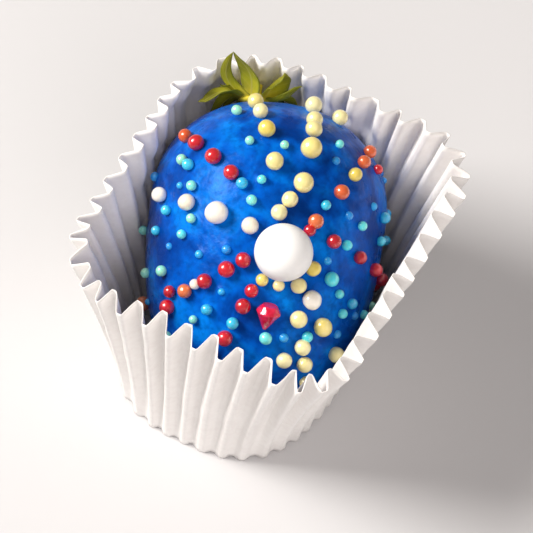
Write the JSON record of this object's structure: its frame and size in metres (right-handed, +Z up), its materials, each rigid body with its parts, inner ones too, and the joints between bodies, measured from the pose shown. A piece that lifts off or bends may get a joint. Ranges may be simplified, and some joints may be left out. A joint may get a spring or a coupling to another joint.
{
  "type": "chocolate coated strawberry",
  "caption": "Strawberry dipped in royal blue chocolate and set with sugar pearls and a large white sugar ball, lying in a fluted white paper case.",
  "frame": {"origin": "middle of the paper case, on the surface it stands on", "axes": "+Z up; +X and +Y along the sides of the case, the berry's tip towards -Y and its leafy crown towards +Y"},
  "size_m": [0.0498, 0.0536, 0.0437],
  "materials": {
    "greaseproof_paper": "thin white greaseproof paper, pressed into sharp flutes, matt and slightly see-through",
    "chocolate_coat": "royal blue coloured white chocolate, set to a satin gloss with faint ripples and small bumps",
    "strawberry_leaf": "fresh strawberry sepals, yellow green with darker olive edges and a fine nap",
    "sugar_shell": "polished sugar shell of the large ball and the small pearls: white, gold, red, orange and turquoise"
  },
  "bodies": {
    "root": {"paper_case": "greaseproof_paper", "coated_berry": "chocolate_coat", "calyx": "strawberry_leaf", "sugar_ball": "sugar_shell"}
  },
  "joints": []
}
